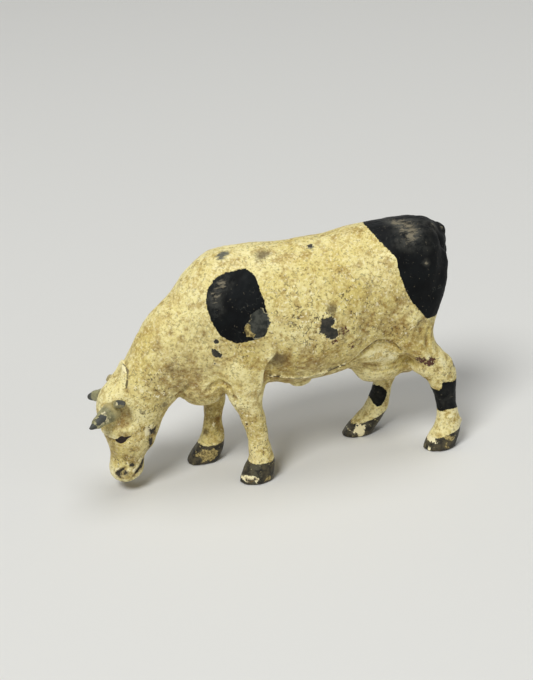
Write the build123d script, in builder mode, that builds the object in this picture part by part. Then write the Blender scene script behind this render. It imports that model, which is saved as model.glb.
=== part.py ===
"""Grazing cow figurine.

A hollow casting in two halves, parted on the middle plane and closed by two rivets.
The horns and ears are pegged into the head, and the tail is trapped between the halves.
Millimetres. The cow looks along -X, its left side is at -Y, and it stands on z = 0.
"""

import os
from math import cos, radians, sin, sqrt

from build123d import *

# Whole figure: the sizes that the shares in the tables below are taken of
body_length = 135.0
back_height = 90.0
barrel_width = 42.0
middle_shift = 1.13

# Legs
leg_spread = 22.0
cannon_diameter = 8.0
front_leg_top = 60.0
hind_leg_top = 80.0
front_stride = 15.6
hind_stride = 26.0
shoulder_pivot_height = 72.0
hip_pivot_height = 58.0

# Hooves
hoof_height = 8.0
hoof_length = 13.0
hoof_width = 10.6
front_hoof_lean = 2.6
hind_hoof_lean = 3.6
coronet_step = 0.2

# Castings
wall = 3.0
fit_gap = 0.1

# Rivets and the bosses round them
rivet_diameter = 4.5
rivet_head_diameter = 8.5
rivet_head_depth = 2.0
boss_diameter = 11.0

# Locating lugs on the parting face
lug_diameter = 3.0
lug_length = 2.0

# Horns, with their angles in degrees
horn_length = 12.1
horn_base_diameter = 5.2
horn_collar_depth = 2.0
horn_peg_diameter = 2.6
horn_peg_depth = 3.4
horn_bend = 10.0
left_horn_spread = 39.0
left_horn_droop = 17.0
right_horn_spread = 50.0
right_horn_droop = 22.0

# Ears, with their angles in degrees
ear_length = 5.8
ear_width = 4.4
ear_thickness = 2.8
ear_peg_diameter = 2.2
ear_peg_depth = 1.8
ear_lift = 12.0
ear_sweep = 90.0
ear_roll = 27.0

# Tail
tail_root_diameter = 3.8
tail_diameter = 3.4
tassel_diameter = 4.4
tail_tip_diameter = 1.4
tail_peg_depth = 6.0
tail_gap = 0.2

# Body from rump to lips: top (x, z), bottom (x, z), full width, place of the widest line
# x in percent of the body length, z of the back height, width of the barrel width
body_stations = [
    ((47.8, 90.2), (47.2, 71.0), 13.0, 0.50),
    ((47.6, 94.3), (46.6, 65.0), 34.0, 0.50),
    ((46.5, 97.0), (45.0, 59.0), 57.0, 0.52),
    ((44.2, 98.6), (42.8, 54.0), 71.0, 0.53),
    ((40.8, 99.4), (40.0, 50.0), 79.5, 0.53),
    ((35.4, 99.6), (35.0, 46.7), 85.7, 0.50),
    ((25.7, 98.4), (26.5, 42.8), 91.4, 0.47),
    ((13.9, 96.8), (14.6, 37.6), 96.7, 0.45),
    ((2.8, 96.9), (2.8, 37.8), 95.2, 0.46),
    ((-6.9, 98.1), (-4.6, 38.3), 87.1, 0.48),
    ((-14.3, 96.9), (-11.3, 37.8), 77.6, 0.50),
    ((-22.0, 88.7), (-17.2, 38.6), 64.8, 0.50),
    ((-29.9, 76.5), (-22.4, 39.4), 55.2, 0.50),
    ((-36.8, 63.3), (-27.2, 36.8), 47.6, 0.50),
    ((-42.4, 51.8), (-30.8, 30.8), 43.0, 0.55),
    ((-47.4, 43.8), (-32.0, 26.4), 44.5, 0.62),
    ((-48.7, 36.1), (-32.7, 23.8), 45.5, 0.65),
    ((-48.0, 27.8), (-33.6, 20.7), 42.5, 0.62),
    ((-47.0, 19.4), (-35.4, 16.4), 34.3, 0.57),
    ((-46.9, 13.3), (-37.3, 12.0), 30.5, 0.52),
    ((-47.3, 9.6), (-37.8, 8.6), 33.3, 0.55),
    ((-46.6, 6.5), (-39.0, 6.2), 29.5, 0.55),
    ((-44.9, 4.8), (-41.1, 4.8), 17.1, 0.50),
]
hollow_stations = body_stations[4:13]

# Legs from top to coronet: share of the height, share of the stance, x in percent of the body length,
# half length and half width in cannon bone radii
front_leg_stations = [
    (1.00, 0.85, -9.1, 2.75, 0.80),
    (0.81, 0.95, -9.2, 2.60, 1.45),
    (0.62, 1.00, -9.5, 2.08, 1.50),
    (0.44, 1.00, -8.6, 1.34, 1.25),
    (0.29, 1.00, -7.5, 1.03, 1.05),
    (0.16, 1.00, -7.0, 0.98, 0.97),
    (0.07, 1.00, -6.7, 1.08, 1.05),
    (0.00, 1.00, -6.7, 1.22, 1.16),
]
hind_leg_stations = [
    (1.00, 0.60, 41.0, 1.90, 0.60),
    (0.89, 0.75, 40.9, 2.75, 1.20),
    (0.75, 0.90, 37.8, 3.15, 1.75),
    (0.61, 0.97, 36.2, 2.68, 1.85),
    (0.49, 1.00, 38.7, 1.86, 1.62),
    (0.39, 1.00, 43.4, 1.72, 1.35),
    (0.32, 1.00, 45.0, 1.58, 1.25),
    (0.24, 1.00, 45.9, 1.23, 1.10),
    (0.11, 1.00, 46.7, 1.00, 1.00),
    (0.04, 1.00, 47.0, 1.20, 1.12),
    (0.00, 1.00, 46.7, 1.25, 1.15),
]

# Hoof below the coronet: share of the height, shares of the sole's length and width
hoof_stations = [(0.5, 0.94, 0.96), (0.0, 1.0, 1.0)]

# Rounded masses on the middle plane: centre (x, z), half length, radius,
# in percent of the body length along X and of the back height otherwise
brisket = ((-19.3, 45.2), 7.6, 12.6)
udder = ((29.6, 41.5), 9.5, 12.0)
rear_quarter = ((37.5, 39.5), 6.5, 8.0)
navel = ((7.5, 36.9), 3.7, 4.3)
mass_sections = (-0.98, -0.8, -0.4, 0.0, 0.4, 0.8, 0.98)

# Horn from base to tip: shares of the base diameter, at even steps
horn_taper = (1.00, 0.98, 0.88, 0.66, 0.38)

# Ear leaf beyond its stem: share of the length, shares of the width and the thickness
ear_stem_share = 0.20
ear_stations = [(0.42, 0.84, 1.00), (0.65, 1.00, 0.90), (0.87, 0.68, 0.70), (1.00, 0.24, 0.40)]

# Tail down the rump: height, place towards the right haunch and distance that it hangs clear of the skin,
# in percent of the back height, of the barrel width and of the body length
tail_places = [
    (91.2, 0.0, 0.0),
    (87.0, 0.2, 0.0),
    (80.0, 2.0, 0.1),
    (71.0, 7.0, 0.1),
    (62.0, 13.0, 0.6),
    (54.0, 17.5, 2.2),
    (48.5, 19.5, 3.6),
]

# Places (x, z) on the middle plane, in percent
front_rivet_place = (-5.7, 72.8)
rear_rivet_place = (12.8, 67.6)
rivet_places = (front_rivet_place, rear_rivet_place)
lug_places = ((-40.2, 31.1), (43.8, 80.0))
horn_core = (-39.2, 45.5)
ear_core = (-42.3, 43.7)
tail_core = (40.0, 93.2)

LEFT = -1
RIGHT = 1


def along(share):
    """Length that a share of the body length stands for."""
    return share / 100 * body_length


def up(share):
    """Height that a share of the back height stands for."""
    return share / 100 * back_height


def across(share):
    """Width that a share of the barrel width stands for."""
    return share / 100 * barrel_width


def lengthwise(share):
    """Position along X for a share, with the middle of the whole figure at x = 0."""
    return along(share) + middle_shift


def at(place, y=0.0):
    """Point in space for a place (x, z) given in shares."""
    return Vector(lengthwise(place[0]), y, up(place[1]))


def egg_outline(top, bottom, half_width, widest, inset=0.0):
    """Closed outline of two half ellipses that share their widest line, between two points."""
    axis = (top - bottom).normalized()
    depth = (top - bottom).length
    centre = bottom + axis * (depth * widest)
    plane = Plane(origin=centre, x_dir=(0, 1, 0), z_dir=(axis.Z, 0, -axis.X))
    with BuildSketch(plane) as outline:
        with BuildLine():
            EllipticalCenterArc((0, 0), half_width - inset, depth * (1 - widest) - inset, 0, arc_size=180)
            EllipticalCenterArc((0, 0), half_width - inset, depth * widest - inset, 180, arc_size=180)
        make_face()
    return outline.sketch


def body_section(top, bottom, width, widest, inset=0.0):
    """Section of the body at one station."""
    return egg_outline(at(top), at(bottom), across(width) / 2, widest, inset)


def level_section(x, y, z, half_length, half_width):
    """Level ellipse of a leg or hoof."""
    with BuildSketch(Plane.XY.offset(z)) as outline:
        with Locations((x, y)):
            Ellipse(half_length, half_width)
    return outline.sketch


def round_section(centre, direction, diameter):
    """Circle square to a direction."""
    with BuildSketch(Plane(origin=centre, z_dir=direction)) as outline:
        Circle(diameter / 2)
    return outline.sketch


def round_bar(start, end, diameter):
    """Straight round bar between two points."""
    with BuildPart() as bar:
        with BuildSketch(Plane(origin=start, z_dir=end - start)):
            Circle(diameter / 2)
        extrude(amount=(end - start).length)
    return bar.part


def mass(centre, half_length, radius):
    """Rounded form lying along X on the middle plane."""
    middle = at(centre)
    sections = []
    for share in mass_sections:
        spine = middle + Vector(along(half_length) * share, 0, 0)
        swell = up(radius) * sqrt(1 - share**2)
        rise = Vector(0, 0, swell)
        sections.append(egg_outline(spine + rise, spine - rise, swell, 0.5))
    with BuildPart() as form:
        loft(sections=sections)
    return form.part


def leg(stations, top, side, reach, pivot, hoof_lean):
    """One leg with its hoof, leaning so that the sole stands ahead of the joint by the reach."""
    stance = side * leg_spread / 2
    radius = cannon_diameter / 2

    def lean(z):
        return -reach * max(0.0, 1 - z / pivot)

    limb_sections = []
    for share, inward, x, half_length, half_width in stations:
        z = hoof_height + share * (top - hoof_height)
        section = (lengthwise(x) + lean(z), stance * inward, z, half_length * radius, half_width * radius)
        limb_sections.append(level_section(*section))
    x, y, z, half_length, half_width = section
    hoof_sections = [level_section(x, y, z, half_length + coronet_step, half_width + coronet_step)]
    for share, length, width in hoof_stations:
        z = hoof_height * share
        toe = lengthwise(stations[-1][2]) - hoof_lean * (1 - share) + lean(z)
        hoof_sections.append(level_section(toe, stance, z, hoof_length * length / 2, hoof_width * width / 2))
    with BuildPart() as limb:
        loft(sections=limb_sections)
        loft(sections=hoof_sections)
    return limb.part


# Outside of the whole animal, before it is parted
with BuildPart() as figure:
    loft(sections=[body_section(*station) for station in body_stations])
    for form in (brisket, udder, rear_quarter, navel):
        add(mass(*form))
    for side, stride in ((LEFT, 0.0), (RIGHT, 1.0)):
        front_place = (side, stride * front_stride, shoulder_pivot_height, front_hoof_lean)
        hind_place = (side, stride * hind_stride, hip_pivot_height, hind_hoof_lean)
        add(leg(front_leg_stations, front_leg_top, *front_place))
        add(leg(hind_leg_stations, hind_leg_top, *hind_place))


def skin_hit(core, direction):
    """Point where a line from inside the figure leaves its skin, and the skin's normal there."""
    hits = figure.part.find_intersection_points(Axis(core, direction))
    return max(hits, key=lambda hit: (hit[0] - core).dot(direction))


def skin_point(core, direction):
    """Point where a line from inside the figure leaves its skin."""
    return skin_hit(core, direction)[0]


def heading(side, sweep, lift):
    """Direction turned outward from straight ahead by the sweep and raised by the lift."""
    level = cos(radians(lift))
    return Vector(-cos(radians(sweep)) * level, side * sin(radians(sweep)) * level, sin(radians(lift)))


def peg(root, direction, diameter, depth, gap=0.0):
    """Straight root below the skin. With a gap it is the socket, open past the slope of the skin."""
    end = root + direction * diameter if gap else root
    return round_bar(root - direction * depth, end, diameter + 2 * gap)


def horn_seat(side, spread, droop):
    """Root on the skin and direction of a horn."""
    direction = heading(side, spread, -droop)
    return skin_point(at(horn_core), direction), direction


def ear_seat(side):
    """Root on the skin and direction of an ear."""
    direction = heading(side, ear_sweep, ear_lift)
    return skin_point(at(ear_core), direction), direction


def horn_peg(seat, gap=0.0):
    """Collar and peg of a horn inside the head, or their socket."""
    collar = peg(*seat, horn_base_diameter, horn_collar_depth, gap)
    return collar + peg(*seat, horn_peg_diameter, horn_peg_depth, gap)


def ear_peg(seat, gap=0.0):
    """Stem of an ear inside the head, or its socket."""
    return peg(*seat, ear_peg_diameter, ear_peg_depth, gap)


def tail_peg(gap=0.0):
    """Root of the tail between the halves, or its socket."""
    return peg(tail_root, tail_direction, tail_root_diameter, tail_peg_depth, gap)


def rivet_bar(place, gap=0.0):
    """Shank and two sunk heads, running past the skin on both sides."""
    flare = rivet_head_diameter - rivet_diameter
    with BuildPart() as bar:
        for side in (LEFT, RIGHT):
            outward = Vector(0, side, 0)
            surface = skin_point(at(place), outward)
            neck = surface - outward * rivet_head_depth
            beyond = surface + outward * rivet_head_depth
            add(round_bar(at(place), surface, rivet_diameter + 2 * gap))
            loft(
                sections=[
                    round_section(neck, outward, rivet_diameter + 2 * gap),
                    round_section(beyond, outward, rivet_diameter + 2 * flare + 2 * gap),
                ]
            )
    return bar.part


left_horn_seat = horn_seat(LEFT, left_horn_spread, left_horn_droop)
right_horn_seat = horn_seat(RIGHT, right_horn_spread, right_horn_droop)
left_ear_seat = ear_seat(LEFT)
right_ear_seat = ear_seat(RIGHT)
tail_direction = Vector(1, 0, 0)
tail_root = skin_point(at(tail_core), tail_direction)

# Space inside the barrel, with the rivet bosses left standing
with BuildPart() as hollow:
    loft(sections=[body_section(*station, inset=wall) for station in hollow_stations])
    for place in rivet_places:
        boss = round_bar(at(place, -barrel_width), at(place, barrel_width), boss_diameter)
        add(boss, mode=Mode.SUBTRACT)

# Both halves together, bored for the rivets and the tail
with BuildPart() as shell:
    add(figure.part)
    add(hollow.part, mode=Mode.SUBTRACT)
    for place in rivet_places:
        add(rivet_bar(place, fit_gap), mode=Mode.SUBTRACT)
    add(tail_peg(fit_gap), mode=Mode.SUBTRACT)

# Left half, with the locating lugs
with BuildPart() as left_casting:
    add(shell.part)
    split(bisect_by=Plane.XZ, keep=Keep.TOP)
    add(horn_peg(left_horn_seat, fit_gap), mode=Mode.SUBTRACT)
    add(ear_peg(left_ear_seat, fit_gap), mode=Mode.SUBTRACT)
    for place in lug_places:
        add(round_bar(at(place, -lug_length), at(place, lug_length), lug_diameter))

# Right half, with sockets for the lugs
with BuildPart() as right_casting:
    add(shell.part)
    split(bisect_by=Plane.XZ, keep=Keep.BOTTOM)
    add(horn_peg(right_horn_seat, fit_gap), mode=Mode.SUBTRACT)
    add(ear_peg(right_ear_seat, fit_gap), mode=Mode.SUBTRACT)
    for place in lug_places:
        socket = round_bar(at(place), at(place, lug_length + fit_gap), lug_diameter + 2 * fit_gap)
        add(socket, mode=Mode.SUBTRACT)

# Rivets, their heads dressed flush with the skin
with BuildPart() as front_rivet:
    add(rivet_bar(front_rivet_place))
    add(figure.part, mode=Mode.INTERSECT)

with BuildPart() as rear_rivet:
    add(rivet_bar(rear_rivet_place))
    add(figure.part, mode=Mode.INTERSECT)


def horn_sections(root, direction):
    """Circles along a horn that tapers and bends down towards its tip."""
    turn = Axis((0, 0, 0), direction.cross(Vector(0, 0, 1)))
    steps = len(horn_taper) - 1
    sections = []
    for taper in horn_taper:
        sections.append(round_section(root, direction, horn_base_diameter * taper))
        direction = direction.rotate(turn, -horn_bend / steps)
        root = root + direction * (horn_length / steps)
    return sections


with BuildPart() as left_horn:
    loft(sections=horn_sections(*left_horn_seat))
    add(horn_peg(left_horn_seat))

with BuildPart() as right_horn:
    loft(sections=horn_sections(*right_horn_seat))
    add(horn_peg(right_horn_seat))


def ear_sections(root, direction):
    """Outlines along an ear, from its round stem to the tip of the leaf."""
    leaf_width = Vector(cos(radians(ear_roll)), 0, sin(radians(ear_roll)))
    stem_end = root + direction * (ear_length * ear_stem_share)
    sections = [round_section(point, direction, ear_peg_diameter) for point in (root, stem_end)]
    for share, width, thickness in ear_stations:
        plane = Plane(origin=root + direction * (ear_length * share), x_dir=leaf_width, z_dir=direction)
        with BuildSketch(plane) as outline:
            Ellipse(ear_width * width / 2, ear_thickness * thickness / 2)
        sections.append(outline.sketch)
    return sections


with BuildPart() as left_ear:
    loft(sections=ear_sections(*left_ear_seat))
    add(ear_peg(left_ear_seat))

with BuildPart() as right_ear:
    loft(sections=ear_sections(*right_ear_seat))
    add(ear_peg(right_ear_seat))

# Tail: a straight root between the halves, then down over the right haunch to a tassel
slim_count = len(tail_places) - 3
tail_diameters = [tail_root_diameter] + [tail_diameter] * slim_count + [tassel_diameter, tail_tip_diameter]


def tail_centre(height, aside, clear, diameter):
    """Middle of the tail at one place, on the skin with its gap or hanging clear of it."""
    surface, outward = skin_hit(at((tail_core[0], height), across(aside)), tail_direction)
    return surface + outward * (diameter / 2 + tail_gap) + tail_direction * along(clear)


with BuildPart() as tail:
    tail_points = [tail_centre(*place, width) for place, width in zip(tail_places, tail_diameters)]
    tail_sections = [round_section(tail_root, tail_direction, tail_root_diameter)]
    before = tail_root
    for point, after, diameter in zip(tail_points, tail_points[1:] + tail_points[-1:], tail_diameters):
        tail_sections.append(round_section(point, after - before, diameter))
        before = point
    loft(sections=tail_sections)
    add(tail_peg())

pieces = {
    "left_casting": left_casting,
    "right_casting": right_casting,
    "front_rivet": front_rivet,
    "rear_rivet": rear_rivet,
    "left_horn": left_horn,
    "right_horn": right_horn,
    "left_ear": left_ear,
    "right_ear": right_ear,
    "tail": tail,
}
os.makedirs("parts", exist_ok=True)
for name, piece in pieces.items():
    piece.part.label = name
    export_step(piece.part, f"parts/{name}.step")
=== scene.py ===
import math
from functools import partial

import bmesh
import bpy
import numpy as np
from mathutils import Matrix, Vector
from mathutils.bvhtree import BVHTree


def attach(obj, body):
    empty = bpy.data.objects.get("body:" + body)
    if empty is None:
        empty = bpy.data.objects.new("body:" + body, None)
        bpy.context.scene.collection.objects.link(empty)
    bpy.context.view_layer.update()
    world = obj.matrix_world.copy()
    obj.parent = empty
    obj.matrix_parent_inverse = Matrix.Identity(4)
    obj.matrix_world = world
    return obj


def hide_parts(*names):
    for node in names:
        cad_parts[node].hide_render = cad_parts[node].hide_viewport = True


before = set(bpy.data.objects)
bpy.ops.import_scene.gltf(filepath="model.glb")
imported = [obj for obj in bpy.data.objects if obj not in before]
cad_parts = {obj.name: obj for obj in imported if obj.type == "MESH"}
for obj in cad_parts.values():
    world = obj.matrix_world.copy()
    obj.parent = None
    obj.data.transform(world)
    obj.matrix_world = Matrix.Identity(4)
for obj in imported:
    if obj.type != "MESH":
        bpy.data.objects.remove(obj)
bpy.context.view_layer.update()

# The sculpting is worked out in millimetres and written to the meshes in metres.
MM = 0.001

# Voxel sizes of the first rounding of the joins, of the finished skin and of the small pieces.
rough_voxel = 0.8
fine_voxel = 0.4
small_voxel = 0.25

# Fillets at the joins: rounds of evening out before and after, rounds of filling, and the share of a hollow
# that one round fills. It is smaller round the notch where the throat meets the brisket, which stays sharp.
even_before = 4
even_after = 3
fillet_rounds = 28
fillet_share = 0.5
throat_notch = (-35.6, 0, 35.6)
throat_reach = 12.0
throat_loss = 0.46

# Where the horns, ears and tail leave the skin, the way each one points and the radius of its socket.
seats = {
    "left_horn": ((-60.25, -6.85, 37.62), (-0.743, -0.602, -0.292), 2.8),
    "right_horn": ((-58.61, 8.13, 36.66), (-0.596, 0.710, -0.375), 2.8),
    "left_ear": ((-55.98, -7.29, 40.88), (0, -0.978, 0.208), 1.4),
    "right_ear": ((-55.98, 7.29, 40.88), (0, 0.978, 0.208), 1.4),
    "tail": ((65.46, 0, 83.88), (1, 0, 0), 2.2),
}

# Middles of the rivets in the side view, and the number of sides that make up their round.
rivet_places = {"front_rivet": (-6.57, 65.52), "rear_rivet": (18.41, 60.84)}
rivet_sides = 40

# A rivet from the middle of its head to its shank, as radius and height over the skin in mm.
rivet_profile = [
    (0, 0.07), (1.3, 0.07), (2.5, 0.06), (3.4, 0.05), (3.75, 0.03), (4, -0.1), (4, -0.6), (2.25, -2),
]

# Lumps of the cast surface, as height and size in mm, seed and number of waves.
casting_lumps = [(0.10, 8, 3, 20), (0.045, 2.6, 5, 20), (0.025, 1, 7, 32)]
small_lumps = [(0.05, 1.8, 11, 20), (0.03, 0.8, 13, 32)]

# The line along which the halves meet: its depth and half width in mm.
parting_depth = 0.14
parting_reach = 0.55

# How far black paint stands up, how deep a chip is and how far from its outline each begins, in mm.
paint_thickness = 0.07
chip_depth = 0.13
edge_reach = 0.5


# Helpers for points and distances

def unit(vector):
    """The vector, or each row of an array of vectors, at length 1."""
    vector = np.asarray(vector, float)
    return vector / np.linalg.norm(vector, axis=-1, keepdims=True)


def ramp(values, start, end):
    """0 at the start and before it, 1 at the end and beyond it, and straight between."""
    return np.clip((values - start) / (end - start), 0, 1)


def distance_to(points, place):
    """How far each point lies from a place, in mm."""
    return np.linalg.norm(points - np.asarray(place), axis=1)


def falloff(distance, reach):
    """1 at the middle of a brush and 0 at its reach, with a soft shoulder between."""
    return np.clip(1.0 - (distance / reach) ** 2, 0, 1) ** 2


def run_offsets(points, line):
    """The way from each straight run of a line to each point."""
    line = np.asarray(line, float)
    for start, end in zip(line[:-1], line[1:]):
        run = end - start
        share = np.clip((points - start) @ run / (run @ run), 0, 1)
        yield points - start - share[:, None] * run


def line_distance(points, line):
    """How far each point lies from a line of straight runs, in mm."""
    nearest = np.full(len(points), np.inf)
    for offset in run_offsets(points, line):
        nearest = np.minimum(nearest, np.linalg.norm(offset, axis=1))
    return nearest


def ripple(points, size, seed, waves):
    """A smooth seeded field of about unit height whose lumps are about the given size across."""
    draw = np.random.default_rng(seed)
    ways = unit(draw.normal(size=(waves, 3)))
    phases = draw.uniform(0, math.tau, waves)
    return np.sin(points @ ways.T * (math.pi / size) + phases).sum(axis=1) / math.sqrt(waves / 2)


# The skin of the two castings

class Skin:
    """A closed surface of quads that is sculpted point by point."""

    def __init__(self, points, quads):
        self.points = points
        self.quads = quads
        sides = np.concatenate([quads[:, [0, 1]], quads[:, [1, 2]], quads[:, [2, 3]], quads[:, [3, 0]]])
        self.starts, self.ends = sides[:, 0], sides[:, 1]
        self.counts = np.bincount(self.starts, minlength=len(points))[:, None]
        self.turn_normals()

    def turn_normals(self):
        """Works the normals out again after the points have moved."""
        corners = self.points[self.quads]
        faces = np.cross(corners[:, 2] - corners[:, 0], corners[:, 3] - corners[:, 1])
        totals = np.zeros_like(self.points)
        for corner in range(4):
            for axis in range(3):
                totals[:, axis] += np.bincount(
                    self.quads[:, corner], weights=faces[:, axis], minlength=len(self.points)
                )
        self.normals = unit(totals + 1e-12)

    def neighbour_mean(self, values):
        """The mean of each point's neighbours, for rows of values."""
        columns = [
            np.bincount(self.starts, weights=values[self.ends, axis], minlength=len(values))
            for axis in range(values.shape[1])
        ]
        return np.stack(columns, axis=1) / self.counts

    def relax(self, rounds, weight=0.5):
        """Evens the surface out. The weight is one number, or one for each point."""
        weight = np.broadcast_to(np.asarray(weight, float), (len(self.points),))[:, None]
        for _ in range(rounds):
            self.points = self.points + weight * (self.neighbour_mean(self.points) - self.points)
        self.turn_normals()

    def fill_hollows(self, rounds, weight):
        """Rounds off inside corners only, as a caster's fillet does. One weight for each point."""
        for _ in range(rounds):
            pull = self.neighbour_mean(self.points) - self.points
            rise = np.maximum((pull * self.normals).sum(axis=1), 0)
            self.points = self.points + (weight * rise)[:, None] * self.normals
            self.turn_normals()

    def push(self, heights):
        """Moves each point out along its normal, or in where the height is negative."""
        self.points = self.points + heights[:, None] * self.normals
        self.turn_normals()

    def hollow(self, rounds):
        """How hollow the surface is at each point, in mm, over a reach that grows with the rounds."""
        pull = self.points
        for _ in range(rounds):
            pull = self.neighbour_mean(pull)
        return ((pull - self.points) * self.normals).sum(axis=1)

    def tree(self):
        """The surface as a tree that finds its nearest points and what a ray meets."""
        return BVHTree.FromPolygons(self.points.tolist(), self.quads.tolist())


def ball(centre, radius):
    """Points and faces of a small sphere, used to close a socket."""
    sphere = bmesh.new()
    bmesh.ops.create_icosphere(sphere, subdivisions=2, radius=radius, matrix=Matrix.Translation(centre))
    points = [tuple(v.co) for v in sphere.verts]
    faces = [[v.index for v in f.verts] for f in sphere.faces]
    sphere.free()
    return points, faces


def voxel_skin(bodies, voxel):
    """One closed skin round several meshes, each given as points in mm and faces."""
    points, faces = [], []
    for body_points, body_faces in bodies:
        start = len(points)
        points += [tuple(p) for p in body_points]
        faces += [[start + corner for corner in face] for face in body_faces]
    source = bpy.data.meshes.new("skin_source")
    source.from_pydata(points, [], faces)
    holder = bpy.data.objects.new("skin_source", source)
    bpy.context.scene.collection.objects.link(holder)
    remesh = holder.modifiers.new("voxels", "REMESH")
    remesh.mode = "VOXEL"
    remesh.voxel_size = voxel
    made = bpy.data.meshes.new_from_object(holder.evaluated_get(bpy.context.evaluated_depsgraph_get()))
    coordinates = np.zeros(len(made.vertices) * 3)
    made.vertices.foreach_get("co", coordinates)
    corners = np.zeros(len(made.loops), int)
    made.loops.foreach_get("vertex_index", corners)
    bpy.data.objects.remove(holder)
    bpy.data.meshes.remove(source)
    bpy.data.meshes.remove(made)
    return Skin(coordinates.reshape(-1, 3), corners.reshape(-1, 4))


def node_mesh(name):
    """Points in mm and faces of a node of the frame."""
    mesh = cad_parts[name].data
    points = [tuple(v.co / MM) for v in mesh.vertices]
    return points, [list(p.vertices) for p in mesh.polygons]


def plugs():
    """Balls that close the sockets of the horns, ears and tail, just under the skin."""
    for root, way, radius in seats.values():
        yield ball(Vector(root) - Vector(unit(way)) * radius, radius)


def body_skin():
    """The figure's outer skin in one piece, with the joins of the legs rounded off."""
    castings = [node_mesh(n) for n in ("left_casting", "right_casting", *rivet_places)]
    rough = voxel_skin([*castings, *plugs()], rough_voxel)
    rough.relax(even_before)
    throat_share = falloff(distance_to(rough.points, throat_notch), throat_reach)
    rough.fill_hollows(fillet_rounds, fillet_share - throat_loss * throat_share)
    rough.relax(even_after)
    return voxel_skin([(rough.points, rough.quads)], fine_voxel)


skin = body_skin()


# Lines of the forms, drawn on the left side in mm. Some are painted too, as thin lines of painted shade.
udder_fold = [
    (25.7, -13.1, 40.5), (28.8, -14.4, 43.3), (32.6, -15.4, 46.8), (36.8, -15.6, 49.8), (40, -14.9, 49),
    (44.2, -14.4, 46.7), (46.6, -14, 44.2),
]
udder_foot = [
    (29.3, -12.6, 41.4), (33.3, -9.6, 36.9), (36.6, -10.6, 35.4), (40.8, -11.2, 34.9), (45.3, -10.4, 35),
    (48.7, -8.8, 34.9),
]
thigh_groove = [(57, -16.8, 51), (55.8, -17.4, 45.5), (58.6, -16.8, 38.5), (60.6, -16.2, 34.5)]
flank_hollow = [(36, -18.6, 70), (33, -19.2, 59), (31.5, -18, 51)]
hip_groove = [(59.4, -4.6, 87.8), (61.9, -5.4, 86.1), (64.4, -6.2, 82), (66, -6.6, 77)]
throat_fold = [
    (-35.4, 0, 36), (-35.4, -4, 36.3), (-35.3, -6.6, 37.1), (-33.9, -7.6, 38.9), (-32.3, -8.8, 40.4),
]
throat_cut = [(-34.6, 0, 35), (-34.6, -4, 35.3), (-33.8, -6.5, 36.4)]
breast_fold = [(-25, -11.2, 39), (-22.8, -11.6, 40.8), (-20.5, -12.8, 42.2), (-18.5, -14.4, 41)]
foreleg_fold = [(-18.5, -14.4, 41), (-17, -14.9, 38), (-16.1, -14.9, 34.5)]
elbow_fold = [
    (-6.2, -14.2, 40.5), (-5.4, -14.8, 43.2), (-4.6, -15.4, 46.3), (-3.4, -16.4, 49.3), (-1.7, -17.4, 51.4),
]
elbow_groove = np.asarray(elbow_fold) + (1.2, 0, -0.3)
milk_vein = [
    (-2.7, -14.4, 42.6), (1.2, -13.8, 41.4), (7.9, -13.6, 40.1), (13.5, -13.8, 40), (19.9, -15.4, 41.5),
    (24.5, -15.6, 42.4),
]
vein_groove = np.asarray(milk_vein) + (0, 1.2, -1.5)
poll_edge = [(-52.9, 0, 50.9), (-52.5, -3.3, 49.9), (-52.3, -4.8, 48.6), (-53, -6, 46), (-53.8, -6.8, 43.4)]
brow = [(-61.5, -5, 27.4), (-59, -8.3, 28.4), (-55.2, -9.4, 28.4), (-52, -9.2, 27.4)]
brow_fold = [(-62.8, -4, 25.7), (-61.2, -6.3, 25.2), (-59.6, -7.8, 24.9)]
upper_lid = [(-59.8, -7, 25.6), (-57.6, -8.9, 26.9), (-54.8, -9.3, 26.4)]
lower_lid = [(-59.4, -7.8, 23.2), (-57.6, -8.8, 22.6), (-55.6, -9, 23.4)]
nostril = [(-60.4, -5.2, 9.2), (-58.6, -6.1, 10.9), (-57.4, -6.4, 11.3)]
mouth = [(-50.2, -4.6, 12.4), (-51.6, -5.3, 10.4), (-53, -5.9, 9), (-54.4, -6, 8.2)]

# Middle of the tail down the rump, which rises to meet it.
tail_line = [
    (65.5, 0, 83.9), (67.6, 0, 82.3), (67.4, 0.1, 78.2), (67.3, 0.8, 71.9), (66.8, 3.1, 63.7),
    (64.8, 6, 55.1),
]


# Tools that carve the forms

def on_both_sides(line):
    """A line on the left side and its mirror image on the right."""
    line = np.asarray(line, float).reshape(-1, 3)
    return line, line * (1, -1, 1)


def mound(body, centre, reach, height):
    """Raises a soft mound at one place, or presses a hollow where the height is negative."""
    body.push(height * falloff(distance_to(body.points, centre), reach))


def mounds(body, centre, reach, height):
    """Raises a mound, or presses a hollow, on both sides of the figure."""
    for side in on_both_sides(centre):
        mound(body, side[0], reach, height)


def ridge(body, line, reach, height):
    """Raises a soft bead along a line, or cuts a groove where the height is negative."""
    body.push(height * falloff(line_distance(body.points, line), reach))


def ridges(body, line, reach, height):
    """Raises a bead, or cuts a groove, on both sides of the figure."""
    for side in on_both_sides(line):
        ridge(body, side, reach, height)


def ledges(body, line, reach, height, toward, softness):
    """Raises what lies on one side of a line, with a sharp edge on the line, on both sides of the figure."""
    for side, way in zip(on_both_sides(line), on_both_sides(toward)):
        nearest = np.full(len(body.points), np.inf)
        beyond = np.zeros(len(body.points))
        for offset in run_offsets(body.points, side):
            distance = np.linalg.norm(offset, axis=1)
            closer = distance < nearest
            nearest[closer] = distance[closer]
            beyond[closer] = (offset @ unit(way[0]))[closer]
        blend = ramp(beyond, -softness, softness)
        blend = blend * blend * (3.0 - 2.0 * blend)
        body.push(height * blend * falloff(nearest, reach))


elbow_ledge = partial(ledges, toward=(-1, 0, 0.3), softness=0.9)
poll_ledge = partial(ledges, toward=(-1, 0, -0.4), softness=0.25)
brow_ledge = partial(ledges, toward=(0, 0, 1), softness=0.3)

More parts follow.
